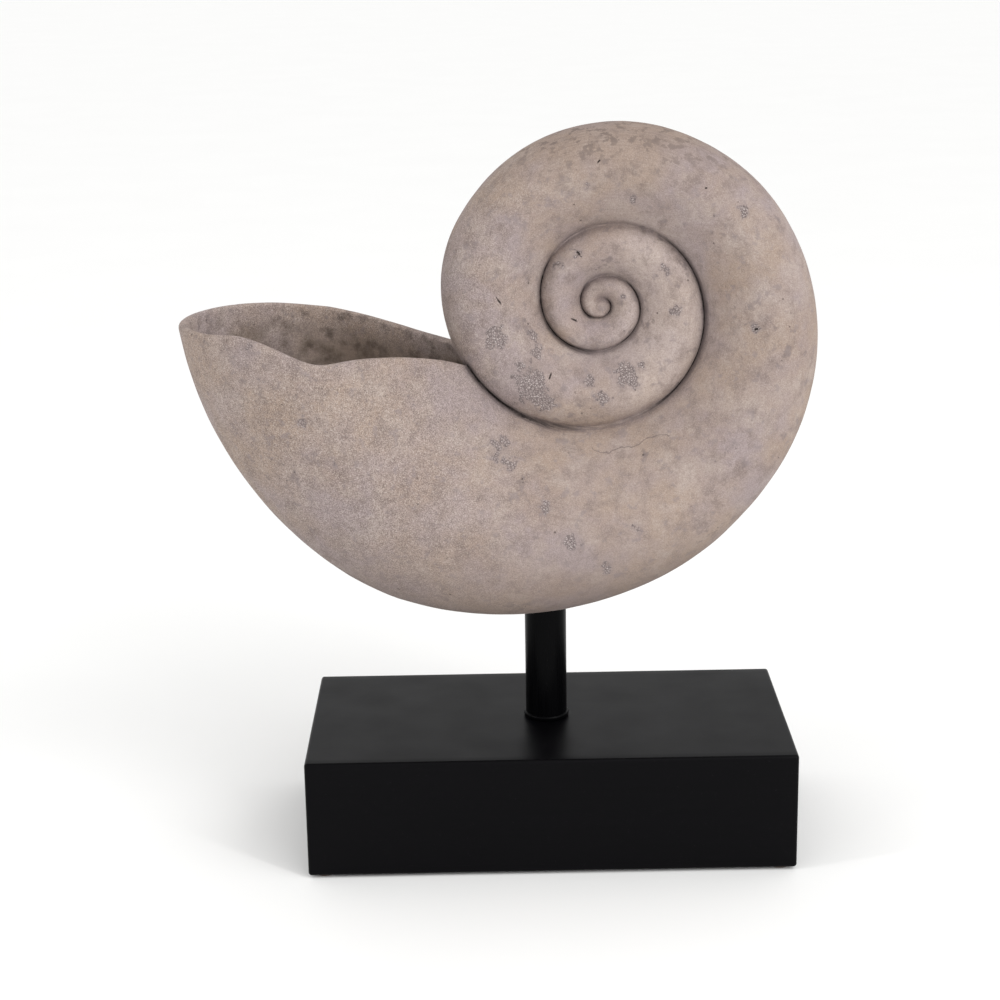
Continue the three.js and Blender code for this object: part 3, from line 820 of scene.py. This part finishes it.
# Soft steps of those tones: the values where each starts and ends, and the level that it
# starts from where that isn't 0.
for name, tone, start, end, *low in (
        ("sandy", "X", 0.05, -0.06, 0.45), ("dark grain", "grain", 0.42, 0.05),
        ("light grain", "grain", 0.6, 0.95), ("streak", "marks", 0.55, 0.9),
        ("bare", "wear", 1.44, 1.56), ("halo", "wear", 1.2, 1.55), ("scuff", "ragged", 0.56, 0.66),
        ("flake", "ragged", 0.53, 0.58), ("joint", "cell edge", 0.14, 0.03),
        # The pits' and chips' darkness is painted shade inside them.
        ("pit", "bubble", 0.17, 0.1), ("few", "chosen", 0.9, 1.1), ("nick", "chip", 1.3, 0.9),
        ("lower left", "towards lip", 0.75, 0.93), ("crown", "Z", 0.405, 0.445),
        # Painted light: the inner coil lighter on its right side, as if lit from the right.
        ("disc", "radius", 72 * MM, 55 * MM), ("disc right light", "X", 0.06, 0.085),
        # Painted shade: the shell darker towards its bottom.
        ("underside shade", "Z", 0.23, 0.165), ("sides", "upright", 0.92, 0.62),
        # Painted shade along the groove: soft dark bands beside it, wider on its outer flank, and a
        # near-black line at its floor; 'sides', 'right side' and 'lower left' set where it is
        # strongest.
        ("outer flank", "groove side", -0.4, 0.5),
        ("wide groove shade", "groove distance", 13 * MM, 0.5 * MM),
        ("groove shade", "groove distance", 6 * MM, 0.5 * MM),
        ("line", "groove distance", 1.5 * MM, 0.3 * MM),
        ("broken", "blotch", 0.1, 0.8, 0.6), ("striated", "marks", 0.2, 0.8, 0.45),
        # Inside the hollow: a real brown tint, with painted shade that grows deeper away from the lip
        # and weaker at the mouth's far left end.
        ("cavity", "hollow distance", 2.5 * MM, 0.3 * MM),
        ("depth", "lip distance", 2 * MM, 26 * MM), ("right of mouth", "X", -0.15, -0.1, 0.25),
        ("hairline", "off crack", 0.4 * MM, 0.08 * MM),
        ("crack from", "X", crack_start, crack_start + MM), ("near side", "Y", -0.01, -0.015),
        ("crack to", "X", crack_end, crack_end - MM), ("right side", "X", 0.09, 0.12, 0.35)):
    tones[name] = add(tree, MAP_RANGE,
                      {"Value": tones[tone], "From Min": start, "From Max": end,
                       "To Min": low[0] if low else 0.0}, interpolation_type="SMOOTHSTEP")

# The coat's colour, from the ground up: each layer's colour, strength, and what masks it.
colour = linear("#a18f83")
for code, strength, masks in (
        ("#9b8d8c", 1.0, ["drift"]),
        ("#8f7967", 0.55, ["brown"]),
        ("#b5a8a1", 0.6, ["pale"]),
        # Painted light on the right of the inner coil.
        ("#bfb0a8", 0.45, ["disc", "disc right light"]),
        ("#7a6c67", 0.62, ["dull"]),
        ("#786b66", 0.5, ["mottle", "sandy"]),
        ("#63574f", 0.6, ["dark grain", "sandy"]),
        ("#c9bdb5", 0.5, ["light grain", "sandy"]),
        ("#75665f", 0.3, ["streak", "brown"]),
        ("#857a7a", 0.5, ["scuff"]),
        ("#6a5f5d", 0.6, ["flake", "swarm"]),
        ("#675b54", 0.5, ["flake", "crown"]),
        ("#7b6b62", 0.45, ["crown", "striated"]),
        # Painted shade, darker towards the bottom of the shell.
        ("#84766f", 0.4, ["underside shade"]),
        ("#918482", 0.5, ["halo"]),
        ("#8d8180", 0.5, ["bare"]),
        ("#cbc1bd", 0.8, ["bare", "light grain"]),
        ("#524846", 0.6, ["bare", "joint"]),
        # Painted shade inside the air-bubble pits.
        ("#4a413d", 0.65, ["pit", "few"]),
        # Painted shade in and beside the grooves: strongest at the coil's left and right and at the
        # lower left, broken by trowel marks and blotches.
        ("#6f6465", 0.6, ["wide groove shade", "outer flank", "striated", "right side"]),
        ("#6a5f61", 0.42, ["groove shade", "striated"]),
        ("#4a4040", 0.6, ["groove shade", "sides", "right side", "outer flank"]),
        ("#3d3432", 0.7, ["groove shade", "lower left", "striated"]),
        ("#1c1716", 0.95, ["line", "sides", "broken"]),
        # The hollow's brown tint and blotches, with painted shade deepening away from the lip.
        ("#8a7a6e", 0.85, ["cavity", "depth", "right of mouth"]),
        ("#43392f", 0.6, ["cavity", "depth", "blotch"]),
        ("#3f3630", 0.6, ["cavity", "right of mouth", "dull"]),
        # Painted shade inside the deep chips.
        ("#241e1c", 0.9, ["nick", "near side"]),
        ("#6a5f5c", 0.6, ["hairline", "crack from", "crack to", "near side"])):
    share = strength
    for mask in masks:
        share = add(tree, MATH, [tones[mask], share], operation="MULTIPLY")
    colour = add(tree, "ShaderNodeMix", {0: share, 6: colour, 7: linear(code)},
                 data_type="RGBA").outputs[2]

# The relief too fine for the mesh: grain, lumps, trowel marks, worn places and their crazed
# joints, pits, chips and the crack. Each has its height as a share of the bump's distance.
relief = 0.0
for depth, masks in ((0.1, ["grain"]), (0.2, ["mottle"]), (0.1, ["marks"]), (-0.35, ["bare"]),
                     (-0.45, ["bare", "joint"]), (-0.8, ["pit", "few"]), (-1.0, ["nick", "near side"]),
                     (-0.35, ["hairline", "crack from", "crack to", "near side"])):
    share = depth
    for mask in masks:
        share = add(tree, MATH, [tones[mask], share], operation="MULTIPLY")
    relief = add(tree, MATH, [share, relief])
bump = add(tree, "ShaderNodeBump", {"Strength": 0.8, "Distance": 0.7 * MM, "Height": relief})
rough = add(tree, MAP_RANGE, {"Value": tones["bare"], "To Min": 0.86, "To Max": 0.97})
coat = add(tree, "ShaderNodeBsdfPrincipled",
           {"Base Color": colour, "Roughness": rough, "IOR": 1.5, "Specular IOR Level": 0.2,
            "Normal": bump})
add(tree, "ShaderNodeOutputMaterial", {"Surface": coat})

shell = new_object("cast_shell", bpy.data.meshes.new("cast_shell"))
maker = shell.modifiers.new("cast", "NODES")
maker.node_group = casting
# The seat is how far a whorl sinks into the one inside it, as a share of half that one's
# depth. The pinch widens a section at its outer edge and narrows it at its inner edge.
values = {
    "Coil centre": coil_centre,
    "Mouth radius": mouth_radius * MM,
    "Growth per turn": growth_per_turn,
    "Mouth half width": mouth_half_width * MM,
    "Seat": 0.3,
    "Pinch": 0.2,
    "Lip thickness": 6 * MM,
    "Wall thickness": 17 * MM,
    "Hollow end": 0.5,
    "Lip start": 1.2 / 360,
    "Lip slope": 16 / 360,
    "Lip power": 2.4,
    "Joint overlap": 0.02,
    "Bud radius": bud_radius * MM,
    "Bud reach": 11 * MM,
    "Bud stretch": (1, 9.5 / bud_radius, 1),
    "Bud centre": coil_centre + Vector((-0.3, 0, -0.5)) * MM,
    "Socket centre": (post_middle.x, post_middle.y, post_high.z + socket_gap - socket_depth / 2),
    "Socket radius": (post_high.x - post_low.x) / 2 + socket_gap,
    "Socket depth": socket_depth,
    "Coat seed": 4.0,
    "Material": stucco,
}
for socket in casting.interface.items_tree:
    if socket.in_out == "INPUT":
        maker[socket.identifier] = values[socket.name]
bpy.context.view_layer.update()
result = shell.evaluated_get(bpy.context.evaluated_depsgraph_get())
finished = bpy.data.meshes.new_from_object(result)
shell.modifiers.remove(maker)
shell.data = finished
shell.data.name = "cast_shell"
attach(shell, "root")
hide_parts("shell")
